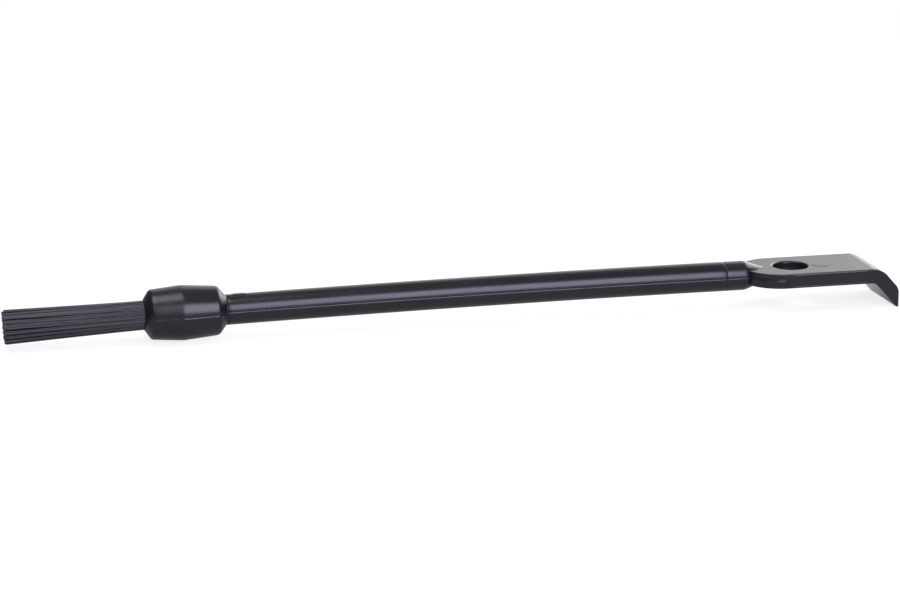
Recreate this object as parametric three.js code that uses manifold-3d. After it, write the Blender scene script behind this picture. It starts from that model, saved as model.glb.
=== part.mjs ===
// Coffee machine cleaning brush: a bristle tuft in a ferrule, a round handle shaft, and a scraper.
// Millimetres, +Z up. The brush lies along X with its bristles towards -X. At the end it is set down so
// that the origin is under the middle of its length, level with the tip of the scraper's lip.
import * as THREE from "three";
import { mergeVertices } from "three/addons/utils/BufferGeometryUtils.js";
import Module from "manifold-3d";

const wasm = await Module();
wasm.setup();

// Ferrule: two shallow cones that meet at a soft ridge, chamfered ends, and a short neck to the shaft
const FERRULE_LENGTH = 15.1;
const FERRULE_MOUTH_RADIUS = 2.85;
const FERRULE_FRONT_RADIUS = 4.54;
const FERRULE_FRONT_CHAMFER = 1.1;
const FERRULE_RIDGE_RADIUS = 5.05;
const FERRULE_RIDGE_AT = 6.9;
const FERRULE_RIDGE_SOFTENING = 0.8;
const FERRULE_REAR_RADIUS = 4.5;
const FERRULE_REAR_CHAMFER = 1.6;
const FERRULE_NECK_LENGTH = 0.5;
const FERRULE_NECK_RISE = 0.15;

// Sockets in the ferrule: a blind hole for the tuft in front, another for the shaft's spigot behind
const TUFT_SOCKET_RADIUS = 2.7;
const TUFT_SOCKET_DEPTH = 8;
const FERRULE_WEB = 1.4;

// Handle shaft: a plain round rod, with a spigot into the ferrule and a blind bore for the scraper
const SHAFT_RADIUS = 2.79;
const SHAFT_LENGTH = 95;
const SHAFT_SPIGOT_RADIUS = 2;
const SHAFT_BORE_RADIUS = 1.75;
const SHAFT_BORE_DEPTH = 8.4;
const BORE_POINT_LENGTH = 1;

// How the plastic pieces meet: a snug spigot, room at its end, and a fine ring groove round each joint
const SPIGOT_CLEARANCE = 0.05;
const SPIGOT_END_GAP = 0.3;
const SPIGOT_LEAD_IN = 0.3;
const SEAM_GAP = 0.1;
const SEAM_CHAMFER = 0.12;

// Scraper: a stub that tapers as a cone into a flat plate with a full-round end, lengths from its seam
const STUB_LENGTH = 4;
const CONE_HALF_ANGLE = THREE.MathUtils.degToRad(19);
const CONE_LENGTH = 5.2;
const PLATE_THICKNESS = 2.8;
const PLATE_WIDTH = 13.4;
const PLATE_ROUND_CENTRE = 10.6;
const PLATE_FLAT_END = 26.4;
const PLATE_EDGE_ROUND = 0.25;
const HANGING_HOLE_AT = 13.4;
const HANGING_HOLE_RADIUS = 3.3;

// The scraper's lip: folds down from the plate, then ends in an upright chisel facet with a blunt tip
const FOLD_AT = 29.4;
const FOLD_ANGLE = THREE.MathUtils.degToRad(48);
const FOLD_SOFTENING = 2.3;
const LIP_THICKNESS = 2.8;
const LIP_FACE_AT = 33.05;
const LIP_FACE_SOFTENING = 0.95;
const LIP_DROP = 6.4;
const LIP_TIP_CHAMFER = 0.2;
const LIP_START = 25.4;

// Tuft: nylon filaments in a honeycomb, folded in two over the anchor, splaying in clumps to their tips
const BRISTLE_REACH = 25;
const BRISTLE_RAGGEDNESS = 0.2;
const BRISTLE_TRIM_SLOPE = 0.03;
const FILAMENT_DIAMETER = 0.16;
const FILAMENT_SIDES = 3;
const FILAMENT_PITCH = 0.235;
const TUFT_RADIUS = 2.45;
const CLUMP_PITCH = 1.2;
const CLUMP_SPREAD = 1.33;
const TUFT_DROOP = 0.45;
const TUFT_FOLD_RADIUS = 2.6;
const TUFT_FOLD_LENGTH = 2.3;
const TUFT_FOLD_END_GAP = 0.3;
const FILAMENT_ROOT_DEPTH = 0.6;

// Tuft anchor: a flat wire across the socket, whose two ends bite into the socket's wall
const ANCHOR_WIDTH = 2;
const ANCHOR_THICKNESS = 0.45;
const ANCHOR_LENGTH = 5.9;
const ANCHOR_CLEARANCE = 0.075;
const ANCHOR_FOLD_DEPTH = 1.3;
const LEG_GAP = 0.3;

const ROUND_STEPS = 48;
const HOLE_STEPS = 40;
const CURVE_STEPS = 5;
const ROUND_END_STEPS = 32;
const FOLD_STEPS = 14;
const MERGE_DISTANCE = 1e-4;

const blackPlastic = new THREE.MeshStandardMaterial({ color: 0x2c2c30, roughness: 0.48, metalness: 0 });
const nylon = new THREE.MeshStandardMaterial({ color: 0x3c3c44, roughness: 0.4, metalness: 0 });
const wireSteel = new THREE.MeshStandardMaterial({ color: 0xb4b6b8, roughness: 0.35, metalness: 1 });

// A closed geometry as a solid that can be joined and cut.
function solidOf(geometry) {
  const bare = geometry.clone();
  bare.deleteAttribute("normal");
  bare.deleteAttribute("uv");
  const merged = mergeVertices(bare, MERGE_DISTANCE);
  return new wasm.Manifold(
    new wasm.Mesh({
      numProp: 3,
      vertProperties: merged.attributes.position.array,
      triVerts: new Uint32Array(merged.index.array),
    }),
  );
}

// The surface of a solid as a geometry with flat faces.
function geometryOf(solid) {
  const surface = solid.getMesh();
  const shared = new THREE.BufferGeometry();
  shared.setAttribute("position", new THREE.BufferAttribute(surface.vertProperties, surface.numProp));
  shared.setIndex(new THREE.BufferAttribute(surface.triVerts, 1));
  const geometry = shared.toNonIndexed();
  geometry.computeVertexNormals();
  return geometry;
}

// A round body about X from a path of points (place along X, radius) that starts and ends on the axis.
function turned(path) {
  const profile = path.getPoints(CURVE_STEPS).map((point) => new THREE.Vector2(point.y, point.x));
  return new THREE.LatheGeometry(profile, ROUND_STEPS).rotateZ(-Math.PI / 2);
}

// A slab of the given outline, its faces at plus and minus half its thickness and its edges rounded over.
function roundedSlab(outline, thickness, curveSegments) {
  const settings = {
    depth: thickness - 2 * PLATE_EDGE_ROUND,
    bevelThickness: PLATE_EDGE_ROUND,
    bevelSize: PLATE_EDGE_ROUND,
    bevelOffset: -PLATE_EDGE_ROUND,
    bevelSegments: 2,
    curveSegments,
  };
  return new THREE.ExtrudeGeometry(outline, settings).translate(0, 0, PLATE_EDGE_ROUND - thickness / 2);
}

// Places along the ferrule, from its mouth
const spigotBoreEnd = TUFT_SOCKET_DEPTH + FERRULE_WEB;
const tuftFoldEnd = TUFT_SOCKET_DEPTH - TUFT_FOLD_END_GAP;
const tuftFoldStart = tuftFoldEnd - TUFT_FOLD_LENGTH;
const anchorHalfSlit = ANCHOR_THICKNESS / 2 + ANCHOR_CLEARANCE;
const anchorEnd = tuftFoldEnd - ANCHOR_FOLD_DEPTH;
const anchorMiddle = anchorEnd - ANCHOR_WIDTH / 2;

function ferruleGeometry() {
  const rearConeEnd = FERRULE_LENGTH - FERRULE_REAR_CHAMFER;
  const rearConeSlope = (FERRULE_RIDGE_RADIUS - FERRULE_REAR_RADIUS) / (rearConeEnd - FERRULE_RIDGE_AT);
  const frontConeSlope =
    (FERRULE_RIDGE_RADIUS - FERRULE_FRONT_RADIUS) / (FERRULE_RIDGE_AT - FERRULE_FRONT_CHAMFER);
  const spigotBoreRadius = SHAFT_SPIGOT_RADIUS + SPIGOT_CLEARANCE;

  const profile = new THREE.Path();
  profile.moveTo(TUFT_SOCKET_DEPTH, 0);
  profile.lineTo(TUFT_SOCKET_DEPTH, TUFT_SOCKET_RADIUS);
  profile.lineTo(0, TUFT_SOCKET_RADIUS);
  profile.lineTo(0, FERRULE_MOUTH_RADIUS);
  profile.lineTo(FERRULE_FRONT_CHAMFER, FERRULE_FRONT_RADIUS);
  profile.lineTo(
    FERRULE_RIDGE_AT - FERRULE_RIDGE_SOFTENING,
    FERRULE_RIDGE_RADIUS - FERRULE_RIDGE_SOFTENING * frontConeSlope,
  );
  profile.quadraticCurveTo(
    FERRULE_RIDGE_AT,
    FERRULE_RIDGE_RADIUS,
    FERRULE_RIDGE_AT + FERRULE_RIDGE_SOFTENING,
    FERRULE_RIDGE_RADIUS - FERRULE_RIDGE_SOFTENING * rearConeSlope,
  );
  profile.lineTo(rearConeEnd, FERRULE_REAR_RADIUS);
  profile.lineTo(FERRULE_LENGTH - FERRULE_NECK_LENGTH, SHAFT_RADIUS + FERRULE_NECK_RISE);
  profile.lineTo(FERRULE_LENGTH, SHAFT_RADIUS);
  profile.lineTo(FERRULE_LENGTH, spigotBoreRadius);
  profile.lineTo(spigotBoreEnd, spigotBoreRadius);
  profile.lineTo(spigotBoreEnd, 0);

  // The anchor's ends have bitten into the socket's wall, which leaves a short groove on each side
  const anchorGrooves = new THREE.BoxGeometry(
    ANCHOR_WIDTH + 2 * ANCHOR_CLEARANCE,
    ANCHOR_LENGTH + 2 * ANCHOR_CLEARANCE,
    2 * anchorHalfSlit,
  ).translate(anchorMiddle, 0, 0);
  return geometryOf(solidOf(turned(profile)).subtract(solidOf(anchorGrooves)));
}

// The shaft starts at its shoulder against the ferrule, with its spigot on the -X side.
function shaftGeometry() {
  const spigotLength = FERRULE_LENGTH - spigotBoreEnd + SEAM_GAP - SPIGOT_END_GAP;
  const boreEnd = SHAFT_LENGTH - SHAFT_BORE_DEPTH;

  const profile = new THREE.Path();
  profile.moveTo(-spigotLength, 0);
  profile.lineTo(-spigotLength, SHAFT_SPIGOT_RADIUS - SPIGOT_LEAD_IN);
  profile.lineTo(SPIGOT_LEAD_IN - spigotLength, SHAFT_SPIGOT_RADIUS);
  profile.lineTo(0, SHAFT_SPIGOT_RADIUS);
  profile.lineTo(0, SHAFT_RADIUS - SEAM_CHAMFER);
  profile.lineTo(SEAM_CHAMFER, SHAFT_RADIUS);
  profile.lineTo(SHAFT_LENGTH - SEAM_CHAMFER, SHAFT_RADIUS);
  profile.lineTo(SHAFT_LENGTH, SHAFT_RADIUS - SEAM_CHAMFER);
  profile.lineTo(SHAFT_LENGTH, SHAFT_BORE_RADIUS);
  profile.lineTo(boreEnd, SHAFT_BORE_RADIUS);
  profile.lineTo(boreEnd - BORE_POINT_LENGTH, 0);
  return turned(profile);
}

// The round part of the scraper: spigot, stub, and the cone that sinks into the plate.
function scraperStub() {
  const spigotRadius = SHAFT_BORE_RADIUS - SPIGOT_CLEARANCE;
  const spigotLength = SHAFT_BORE_DEPTH + SEAM_GAP - SPIGOT_END_GAP;
  const coneEnd = STUB_LENGTH + CONE_LENGTH;

  const profile = new THREE.Path();
  profile.moveTo(-spigotLength, 0);
  profile.lineTo(-spigotLength, spigotRadius - SPIGOT_LEAD_IN);
  profile.lineTo(SPIGOT_LEAD_IN - spigotLength, spigotRadius);
  profile.lineTo(0, spigotRadius);
  profile.lineTo(0, SHAFT_RADIUS - SEAM_CHAMFER);
  profile.lineTo(SEAM_CHAMFER, SHAFT_RADIUS);
  profile.lineTo(STUB_LENGTH, SHAFT_RADIUS);
  profile.lineTo(coneEnd, SHAFT_RADIUS - CONE_LENGTH * Math.tan(CONE_HALF_ANGLE));
  profile.lineTo(coneEnd, 0);
  return turned(profile);
}

// The flat part of the plate: a full-round end towards the stub, straight sides to the fold.
function scraperPlate() {
  const halfWidth = PLATE_WIDTH / 2;
  const outline = new THREE.Shape();
  outline.moveTo(PLATE_FLAT_END, -halfWidth);
  outline.lineTo(PLATE_FLAT_END, halfWidth);
  outline.lineTo(PLATE_ROUND_CENTRE, halfWidth);
  outline.absarc(PLATE_ROUND_CENTRE, 0, halfWidth, Math.PI / 2, (3 * Math.PI) / 2, false);
  return roundedSlab(outline, PLATE_THICKNESS, ROUND_END_STEPS);
}

// The folded lip, drawn as its side profile in X and Z and extruded across the plate's width. It starts
// inside the flat part, so that the two join in one plate.
function scraperLip() {
  const top = PLATE_THICKNESS / 2;
  const fall = Math.tan(FOLD_ANGLE);
  const alongSlope = new THREE.Vector2(Math.cos(FOLD_ANGLE), -Math.sin(FOLD_ANGLE));
  const fold = new THREE.Vector2(FOLD_AT, top);
  const faceTop = new THREE.Vector2(LIP_FACE_AT, top - (LIP_FACE_AT - FOLD_AT) * fall);
  const innerFoldAt = FOLD_AT - LIP_THICKNESS / Math.sin(FOLD_ANGLE) + PLATE_THICKNESS / fall;
  const innerTipAt = innerFoldAt + (LIP_DROP - top) / fall;

  const slopeStart = fold.clone().addScaledVector(alongSlope, FOLD_SOFTENING);
  const slopeEnd = faceTop.clone().addScaledVector(alongSlope, -LIP_FACE_SOFTENING);
  const profile = new THREE.Shape();
  profile.moveTo(LIP_START, -top);
  profile.lineTo(innerFoldAt, -top);
  profile.lineTo(innerTipAt, -LIP_DROP);
  profile.lineTo(LIP_FACE_AT, LIP_TIP_CHAMFER - LIP_DROP);
  profile.lineTo(LIP_FACE_AT, faceTop.y - LIP_FACE_SOFTENING);
  profile.quadraticCurveTo(faceTop.x, faceTop.y, slopeEnd.x, slopeEnd.y);
  profile.lineTo(slopeStart.x, slopeStart.y);
  profile.quadraticCurveTo(fold.x, fold.y, FOLD_AT - FOLD_SOFTENING, top);
  profile.lineTo(LIP_START, top);
  return roundedSlab(profile, PLATE_WIDTH, CURVE_STEPS).rotateX(Math.PI / 2);
}

function scraperGeometry() {
  const hole = new THREE.CylinderGeometry(
    HANGING_HOLE_RADIUS,
    HANGING_HOLE_RADIUS,
    2 * PLATE_THICKNESS,
    HOLE_STEPS,
  );
  hole.rotateX(Math.PI / 2).translate(HANGING_HOLE_AT, 0, 0);
  const body = solidOf(scraperStub()).add(solidOf(scraperPlate())).add(solidOf(scraperLip()));
  return geometryOf(body.subtract(solidOf(hole)));
}

// Rolled flat wire: a narrow section with round edges, cut to length across the socket.
function anchorGeometry() {
  const edge = ANCHOR_THICKNESS / 2;
  const flat = ANCHOR_WIDTH / 2 - edge;
  const section = new THREE.Shape();
  section.absarc(-flat, 0, edge, Math.PI / 2, (3 * Math.PI) / 2, false);
  section.absarc(flat, 0, edge, -Math.PI / 2, Math.PI / 2, false);
  const settings = { depth: ANCHOR_LENGTH, bevelEnabled: false, curveSegments: CURVE_STEPS };
  return new THREE.ExtrudeGeometry(section, settings)
    .translate(0, 0, -ANCHOR_LENGTH / 2)
    .rotateX(Math.PI / 2);
}

// Places of the filaments in the mouth, as (Y, Z): honeycomb rows on one side of the anchor's plane.
function filamentPlaces(side) {
  const rowPitch = (FILAMENT_PITCH * Math.sqrt(3)) / 2;
  const rows = Math.floor(TUFT_RADIUS / rowPitch);
  const columns = Math.ceil(TUFT_RADIUS / FILAMENT_PITCH);
  const places = [];
  for (let row = 0; row < rows; row++) {
    const evenRow = row % 2 === 0;
    const stagger = evenRow === (side > 0) ? 0 : 0.5;
    for (let column = -columns; column <= columns; column++) {
      const place = new THREE.Vector2((column + stagger) * FILAMENT_PITCH, side * (row + 0.5) * rowPitch);
      if (place.length() <= TUFT_RADIUS) places.push(place);
    }
  }
  return places;
}

// Where a filament stands in the fold: its side is pressed together to leave a slit for the anchor.
function rootPlace(place) {
  const slit = anchorHalfSlit + ANCHOR_CLEARANCE;
  const pressed = slit + Math.abs(place.y) * (1 - slit / TUFT_RADIUS);
  return new THREE.Vector2(place.x, Math.sign(place.y) * pressed);
}

// Where its tip ends up: clumps of filaments keep together while the clumps move apart and the tuft droops.
function tipPlace(place) {
  const clumpRow = Math.round(place.y / CLUMP_PITCH - 0.5) + 0.5;
  const stagger = 0.5 * (Math.abs(clumpRow - 0.5) % 2);
  const clumpColumn = Math.round(place.x / CLUMP_PITCH - stagger) + stagger;
  const clump = new THREE.Vector2(clumpColumn, clumpRow).multiplyScalar(CLUMP_PITCH);
  const tip = place.clone().addScaledVector(clump, CLUMP_SPREAD - 1);
  tip.y -= TUFT_DROOP;
  return tip;
}

// Adds one filament to a list of corner positions and faces: a thin prism through its stations, closed at
// both ends. A station is a place along X with the filament's centre there, as (Y, Z).
function addFilament(positions, faces, stations, twist) {
  const first = positions.length / 3;
  const last = stations.length - 1;
  const corner = (station, turn) => first + station * FILAMENT_SIDES + (turn % FILAMENT_SIDES);
  for (const [x, centre] of stations) {
    for (let turn = 0; turn < FILAMENT_SIDES; turn++) {
      const angle = twist + (turn * 2 * Math.PI) / FILAMENT_SIDES;
      const y = centre.x + (FILAMENT_DIAMETER / 2) * Math.cos(angle);
      const z = centre.y + (FILAMENT_DIAMETER / 2) * Math.sin(angle);
      positions.push(x, y, z);
    }
  }
  for (let turn = 0; turn < FILAMENT_SIDES; turn++) {
    for (let station = 0; station < last; station++) {
      faces.push(corner(station, turn), corner(station + 1, turn + 1), corner(station, turn + 1));
      faces.push(corner(station, turn), corner(station + 1, turn), corner(station + 1, turn + 1));
    }
  }
  for (let turn = 1; turn < FILAMENT_SIDES - 1; turn++) {
    faces.push(corner(0, 0), corner(0, turn), corner(0, turn + 1));
    faces.push(corner(last, 0), corner(last, turn + 1), corner(last, turn));
  }
}

// A half-round bar along X, on one side of the anchor's plane and that far from it.
function halfRoundBar(side, distance, from, to) {
  const legAngle = (side * Math.PI) / 2;
  const halfAngle = Math.acos(distance / TUFT_FOLD_RADIUS);
  const halfRound = new THREE.Shape();
  halfRound.absarc(0, 0, TUFT_FOLD_RADIUS, legAngle - halfAngle, legAngle + halfAngle, false);
  const settings = { depth: to - from, bevelEnabled: false, curveSegments: FOLD_STEPS };
  const toX = new THREE.Matrix4().makeBasis(
    new THREE.Vector3(0, 1, 0),
    new THREE.Vector3(0, 0, 1),
    new THREE.Vector3(1, 0, 0),
  );
  return new THREE.ExtrudeGeometry(halfRound, settings).applyMatrix4(toX).translate(from, 0, 0);
}

// One leg of the folded tuft, above (1) or below (-1) the anchor: its filaments, fused to half of the fold,
// which closes behind the anchor.
function bristleGeometry(side) {
  const positions = [];
  const faces = [];
  filamentPlaces(side).forEach((place, index) => {
    const tip = tipPlace(place);
    const ragged = BRISTLE_RAGGEDNESS * Math.sin(index * index);
    const reach = BRISTLE_REACH + BRISTLE_TRIM_SLOPE * tip.y + ragged;
    const root = tuftFoldStart + FILAMENT_ROOT_DEPTH;
    const stations = [
      [root, rootPlace(place)],
      [0, place],
      [-reach, tip],
    ];
    addFilament(positions, faces, stations, index);
  });
  const filaments = new THREE.BufferGeometry();
  filaments.setAttribute("position", new THREE.Float32BufferAttribute(positions, 3));
  filaments.setIndex(faces);

  const besideAnchor = halfRoundBar(side, anchorHalfSlit, tuftFoldStart, tuftFoldEnd);
  const behindAnchor = halfRoundBar(side, LEG_GAP / 2, anchorEnd + ANCHOR_CLEARANCE, tuftFoldEnd);
  return geometryOf(solidOf(filaments).add(solidOf(besideAnchor)).add(solidOf(behindAnchor)));
}

function piece(name, geometry, material, x = 0) {
  const mesh = new THREE.Mesh(geometry, material);
  mesh.name = name;
  mesh.position.x = x;
  return mesh;
}

const tuft = new THREE.Group();
tuft.add(piece("upper_bristles", bristleGeometry(1), nylon));
tuft.add(piece("lower_bristles", bristleGeometry(-1), nylon));
tuft.add(piece("tuft_anchor", anchorGeometry(), wireSteel, anchorMiddle));

const handle = new THREE.Group();
handle.position.x = FERRULE_LENGTH + SEAM_GAP;
handle.add(piece("handle_shaft", shaftGeometry(), blackPlastic));
handle.add(piece("scraper", scraperGeometry(), blackPlastic, SHAFT_LENGTH + SEAM_GAP));

const brush = new THREE.Group();
brush.add(tuft, piece("ferrule", ferruleGeometry(), blackPlastic), handle);

const extent = new THREE.Box3().setFromObject(brush);
const middle = extent.getCenter(new THREE.Vector3());
brush.position.set(-middle.x, 0, -extent.min.z);

const coffeeMachineBrush = new THREE.Group();
coffeeMachineBrush.add(brush);

export default coffeeMachineBrush;
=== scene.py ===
"""Coffee machine cleaning brush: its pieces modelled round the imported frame, and a studio stage.

The brush lies along X, bristles towards -X. Lengths below are read in millimetres and kept in metres.
"""

import math
import random

import bmesh
import bpy
from bpy.props import FloatProperty, FloatVectorProperty, IntProperty, PointerProperty
from bpy.types import Operator, Panel, PropertyGroup
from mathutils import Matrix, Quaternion, Vector


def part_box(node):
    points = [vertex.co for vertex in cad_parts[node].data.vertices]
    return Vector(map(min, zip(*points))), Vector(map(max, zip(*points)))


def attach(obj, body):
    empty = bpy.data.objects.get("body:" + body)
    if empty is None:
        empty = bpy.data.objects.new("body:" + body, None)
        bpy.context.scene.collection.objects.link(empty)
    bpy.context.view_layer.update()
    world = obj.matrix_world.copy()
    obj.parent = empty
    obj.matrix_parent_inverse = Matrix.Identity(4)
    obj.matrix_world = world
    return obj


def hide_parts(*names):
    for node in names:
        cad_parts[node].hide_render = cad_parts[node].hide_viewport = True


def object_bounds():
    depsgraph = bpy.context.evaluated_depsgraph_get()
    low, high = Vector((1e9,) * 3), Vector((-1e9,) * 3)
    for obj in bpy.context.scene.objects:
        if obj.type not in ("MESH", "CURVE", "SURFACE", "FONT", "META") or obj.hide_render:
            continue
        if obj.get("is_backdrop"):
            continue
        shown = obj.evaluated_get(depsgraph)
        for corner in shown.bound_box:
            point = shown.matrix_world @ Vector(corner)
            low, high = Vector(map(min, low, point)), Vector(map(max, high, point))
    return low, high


bl_info = {
    "name": "Coffee Machine Brush",
    "version": (1, 0, 0),
    "blender": (4, 5, 0),
    "location": "View3D > Sidebar > Brush",
    "description": "Models a stick brush with a scraper, and a studio stage round it",
    "category": "Add Mesh",
}

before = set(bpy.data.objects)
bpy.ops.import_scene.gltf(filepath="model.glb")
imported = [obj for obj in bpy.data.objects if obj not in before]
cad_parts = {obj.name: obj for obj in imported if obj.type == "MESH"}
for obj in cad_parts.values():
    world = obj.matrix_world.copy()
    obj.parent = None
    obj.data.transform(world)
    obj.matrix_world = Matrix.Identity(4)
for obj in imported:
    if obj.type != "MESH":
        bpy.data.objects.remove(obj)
CAD_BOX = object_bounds()

MM = 0.001

# Places that the frame gives: the mouth, the two seams and the height of the brush's axis
FERRULE_LOW, FERRULE_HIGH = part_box("ferrule")
SHAFT_LOW, SHAFT_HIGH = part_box("handle_shaft")
SCRAPER_LOW, SCRAPER_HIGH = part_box("scraper")
ANCHOR_LOW, ANCHOR_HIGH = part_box("tuft_anchor")
AXIS_Z = (FERRULE_LOW.z + FERRULE_HIGH.z) / 2
MOUTH_X = FERRULE_LOW.x
FERRULE_LENGTH = FERRULE_HIGH.x - FERRULE_LOW.x
ALONG = Vector((1, 0, 0))
UP = Vector((0, 0, 1))

# Fineness of the meshes, and the distances at which points count as one or as touching
TURN_STEPS = 128
HOLE_STEPS = 96
EDGE_SEGMENTS = 5
FLOOR_CUTS = 4
WELD = 1e-7
TOUCH = 2e-6

# Edges under this angle look smooth, and a face that is turned by less from an axis looks along it
SMOOTH_ANGLE = math.radians(32)
FACING = math.cos(SMOOTH_ANGLE)

# Share of the rod's radius from which a point lies on its side
SIDE_SHARE = 0.8

# Where a filament has its points: shares of the fold's quarter turn, and of the reach past the mouth
FOLD_TURNS = (1, 0.66, 0.33)
REACH_SHARES = (0, 0.22, 0.48, 0.75, 1)

# Noise: its middle value, its roughness, and the values between which a pattern goes from none to full
NOISE_MIDDLE = 0.5
NOISE_ROUGHNESS = 0.55
CLOUD_EDGES = (0.42, 0.72)
COARSE_EDGES = (0.5, 0.75)
TONE_EDGES = (0.25, 0.75)
STREAK_EDGES = (0.35, 0.7)
LINE_EDGES = (0.3, 0.7)

# Turn of the plastic's grain against the brush, and stretch of the lines along filaments and wire
GRAIN_TURN = (0.6, 0.9, 0.4)
FILAMENT_STRETCH = (0.06, 1, 1)
WIRE_STRETCH = (1, 0.04, 1)

# Parts of a direction in the studio between which a wall starts and is full
CEILING_EDGES = (0.5, 0.9)
FRONT_EDGES = (0.4, 0.9)
BACKDROP_EDGES = (0.05, 0.55)
BACKDROP_TOP_EDGES = (0.55, 0.9)
BACKDROP_SIDE_EDGES = (-0.3, 0.3)


def length(name, description, millimetres):
    """A property for a length, given in millimetres."""
    return FloatProperty(
        name=name, description=description, default=millimetres * MM, unit="LENGTH", precision=5
    )


def angle(name, description, degrees):
    """A property for an angle, given in degrees."""
    return FloatProperty(
        name=name, description=description, default=math.radians(degrees), subtype="ANGLE"
    )


def share(name, description, default):
    """A property for a plain factor."""
    return FloatProperty(name=name, description=description, default=default, subtype="FACTOR")


def strength(name, description, default):
    """A property for the radiance of a lamp or a wall, where 1 is white."""
    return FloatProperty(name=name, description=description, default=default, min=0)


def colour(name, description, default):
    """A property for a linear colour."""
    return FloatVectorProperty(
        name=name, description=description, default=default, size=3, min=0, max=1, subtype="COLOR"
    )


def place(name, description, millimetres):
    """A property for a point or an extent, given in millimetres."""
    return FloatVectorProperty(
        name=name,
        description=description,
        default=[value * MM for value in millimetres],
        size=len(millimetres),
        unit="LENGTH",
        subtype="XYZ",
    )


class FerruleSizes(PropertyGroup):
    """Sizes of the ferrule, with places along it from its mouth."""

    mouth_radius: length("Mouth radius", "Outer radius at the mouth", 2.85)
    front_radius: length("Front radius", "Radius where the front chamfer ends", 4.54)
    front_chamfer: length("Front chamfer", "Length of the front chamfer", 1.1)
    front_rounding: length("Front rounding", "Setback of the round at the front chamfer's edge", 0.45)
    ridge_radius: length("Ridge radius", "Radius where the two cones meet, before softening", 5.05)
    ridge_at: length("Ridge place", "Place of the ridge", 6.9)
    ridge_rounding: length("Ridge rounding", "Setback of the ridge's softening", 0.35)
    rear_radius: length("Rear radius", "Radius where the rear chamfer starts", 4.5)
    rear_chamfer: length("Rear chamfer", "Length of the rear chamfer with its neck", 1.6)
    rear_rounding: length("Rear rounding", "Setback of the round at the rear chamfer's edge", 0.42)
    neck_length: length("Neck length", "Length of the neck at the shaft", 0.27)
    neck_radius: length("Neck radius", "Radius where the rear chamfer meets the neck", 2.83)
    neck_end_radius: length("Neck end radius", "Radius of the neck at the shaft", 2.79)
    socket_radius: length("Socket radius", "Radius of the blind hole for the tuft", 2.7)
    socket_depth: length("Socket depth", "Depth of the blind hole for the tuft", 8)
    bore_radius: length("Bore radius", "Radius of the blind hole for the shaft's spigot", 2.05)
    web: length("Web", "Wall between the two blind holes", 1.4)
    socket_rounding: length("Socket rounding", "Setback of the round at the socket's edge", 0.04)
    mouth_rounding: length("Mouth rounding", "Setback of the round at the mouth's edge", 0.06)
    neck_rounding: length("Neck rounding", "Setback of the round where the neck starts", 0.1)
    neck_end_rounding: length("Neck end rounding", "Setback of the round at the neck's end", 0.05)
    groove_clearance: length("Groove clearance", "Room round the anchor's ends in the wall", 0.075)


class ShaftSizes(PropertyGroup):
    """Sizes of the handle shaft, with places along it from its shoulder."""

    radius: length("Radius", "Radius of the rod", 2.79)
    spigot_radius: length("Spigot radius", "Radius of the spigot in the ferrule", 2)
    bore_radius: length("Bore radius", "Radius of the blind bore for the scraper", 1.75)
    bore_depth: length("Bore depth", "Depth of the blind bore", 8.4)
    bore_point: length("Bore point", "Length of the bore's pointed bottom", 1)
    lead_in: length("Lead-in", "Chamfer at the end of each spigot", 0.3)
    seam_gap: length("Seam gap", "Open line round each joint", 0.02)
    seam_chamfer: length("Seam chamfer", "Chamfer beside each open line", 0.05)
    seam_rounding: length("Seam rounding", "Setback of the round at that chamfer's edge", 0.05)
    gate_at: length("Gate mark", "Place of the mark that the mould's gate leaves on top", 2.5)
    gate_length: length("Gate length", "Length of that mark", 2.0)
    gate_width: length("Gate width", "Width of that mark", 1.1)
    gate_height: length("Gate height", "Height of that mark", 0.1)
    bow: length("Bow", "How far the rod's middle is bowed up", 0.26)
    end_lift: length("End lift", "How far the rod's far end is lifted by its bow", 0.08)
    start_rounding: length("Start rounding", "Round at the shaft's first edge", 0.1)
    step: length("Step", "Length of one step of the mesh along the rod", 0.8)


class PartingLine(PropertyGroup):
    """The fine raised line that the two halves of the mould leave."""

    width: length("Width", "Width of the line at its foot", 0.24)
    height: length("Height", "Height of the line", 0.05)
    front_height: length("Front height", "Height of the line on the ferrule's front cone", 0.08)
    unevenness: length("Unevenness", "How far the line's height wanders", 0.012)
    seed: IntProperty(name="Seed", description="Seed of the line's unevenness", default=7)


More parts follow.
